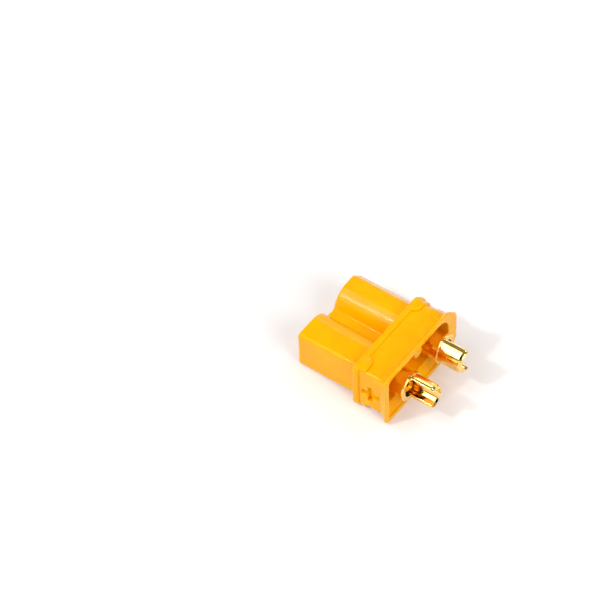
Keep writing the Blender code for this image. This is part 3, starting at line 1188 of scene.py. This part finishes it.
@dataclass(frozen=True)
class Panel:
    """A plain panel of the room that shows in reflections alone: place, size in metres and shade."""

    name: str
    direction: tuple[float, float, float]
    distance: float
    length: float
    depth: float
    shade: str

    def hang(self, target: Vector) -> bpy.types.Object:
        """Hangs the panel, facing a point. Reflections alone show it, and it throws no shadow.

        Args:
            target: The point that it faces.

        Returns:
            The panel's object.
        """
        shape = bmesh.new()
        bmesh.ops.create_grid(shape, x_segments=1, y_segments=1, size=0.5)
        bmesh.ops.scale(shape, vec=(self.length, self.depth, 1.0), verts=shape.verts)
        panel = object_from(self.name, shape)
        panel.matrix_world = hanging_place(self.direction, self.distance, target)
        material = empty_material(self.name + "_paint")
        paint = add_node(material.node_tree, "Emission", {"Color": linear(self.shade), "Strength": 1.0})
        add_node(material.node_tree, "OutputMaterial", links={"Surface": paint.outputs["Emission"]})
        panel.data.materials.append(material)
        for ray in ("camera", "diffuse", "transmission", "shadow"):
            setattr(panel, "visible_" + ray, False)
        return panel


@dataclass
class Studio:
    """Background paper, soft lamps and a plain bright room.

    The part rests on two lines, the barrels' lower front edge and the rim's lower edge. The paper
    passes through both, so it is tipped by a few degrees against the part's own axes.
    """

    front_rest: tuple[float, float] = (-6.2 * MM, 0.95 * MM)
    rear_rest: tuple[float, float] = (3.2 * MM, 0.0)
    clearance: float = 0.01 * MM
    paper_size: float = 3.0
    aim_height: float = 2.5 * MM
    room_light: float = 0.34
    lamps: tuple[StripLamp, ...] = (
        StripLamp("right_softbox", (0.462, -0.345, 0.87), 0.45, 0.5, 0.2, 3.05),
        StripLamp("right_flash", (0.55, -0.335, 0.76), 0.44, 0.03, 0.03, 165.0),
        StripLamp("left_softbox", (-0.74, -0.335, 0.583), 0.45, 0.12, 0.14, 2.3),
        StripLamp("left_flash", (-0.51, 0.20, 0.83), 0.44, 0.04, 0.04, 30.0),
        StripLamp("rear_softbox", (0.10, 0.85, 0.50), 0.45, 0.3, 0.3, 3.9),
    )
    panels: tuple[Panel, ...] = (
        Panel("grey_ceiling", (0.0, 0.0, 1.0), 0.6, 2.4, 2.4, "8E887A"),
        Panel("black_flag", (0.85, -0.335, 0.42), 0.44, 0.07, 0.24, "050505"),
        Panel("dark_camera_hood", (0.513, 0.24, 0.780), 0.26, 0.15, 0.13, "060504"),
    )

    def lay_paper(self) -> bpy.types.Object:
        """Lays the paper under the part.

        Returns:
            The paper's object.
        """
        shape = bmesh.new()
        bmesh.ops.create_grid(shape, x_segments=1, y_segments=1, size=self.paper_size / 2)
        paper = object_from("background_paper", shape)
        run = self.rear_rest[0] - self.front_rest[0]
        rise = self.rear_rest[1] - self.front_rest[1]
        tip = math.atan2(rise, run)
        paper.rotation_euler = (tip, 0.0, 0.0)
        height = self.rear_rest[1] - self.rear_rest[0] * math.tan(tip)
        paper.location = (0.0, 0.0, height - self.clearance)
        paper.data.materials.append(StudioPaper().material())
        return paper

    def light_room(self) -> None:
        """Fills the room with even light, and shows it plain white to the eye and in reflections."""
        world = bpy.data.worlds.new("white_room")
        bpy.context.scene.world = world
        world.use_nodes = True
        tree = world.node_tree
        tree.nodes.clear()
        lit = add_node(tree, "Background", {"Color": linear("FFFFFF"), "Strength": self.room_light})
        white = add_node(tree, "Background", {"Color": linear("FFFFFF"), "Strength": 1.0})
        mix = add_node(
            tree, "MixShader",
            links={0: seen_share(tree), 1: lit.outputs["Background"], 2: white.outputs["Background"]},
        )
        add_node(tree, "OutputWorld", links={"Surface": mix.outputs["Shader"]})

    def build(self) -> None:
        """Lays the paper, hangs lamps and panels, and lights the room."""
        self.lay_paper()
        middle = Vector((0.0, 0.0, self.aim_height))
        for piece in self.lamps + self.panels:
            piece.hang(middle)
        self.light_room()


@dataclass(frozen=True)
class Viewpoint:
    """The camera: its place in metres, its turn, and its lens in millimetres on a 36 mm wide sensor."""

    place: tuple[float, float, float] = (0.109899, 0.077496, 0.167326)
    turn: tuple[float, float, float, float] = (0.429685, 0.142721, 0.314579, 0.834291)
    lens: float = 150.0

    def build(self) -> bpy.types.Object:
        """Puts the camera up and makes it the scene's own.

        Returns:
            The camera's object.
        """
        data = bpy.data.cameras.new("viewpoint")
        data.sensor_width = 36.0
        data.lens = self.lens
        data.clip_start = 0.005
        data.clip_end = 20.0
        camera = bpy.data.objects.new("viewpoint", data)
        bpy.context.scene.collection.objects.link(camera)
        camera.location = self.place
        camera.rotation_mode = "QUATERNION"
        camera.rotation_quaternion = Quaternion(self.turn)
        bpy.context.scene.camera = camera
        return camera


def main() -> None:
    """Builds the camera, the pieces and the studio, and reports each one."""
    logging.basicConfig(level=logging.INFO, format="%(name)s: %(message)s")
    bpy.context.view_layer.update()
    bpy.context.scene.view_settings.view_transform = "Standard"
    Viewpoint().build()

    pieces = [Housing().build()]
    brass = GoldPlatedBrass().material()
    for polarity in Polarity:
        pieces.append(Contact(polarity).build(brass))
    for piece in pieces:
        LOG.info("%s: %d faces", piece.name, len(piece.data.polygons))

    Studio().build()


if __name__ == "__main__":
    main()
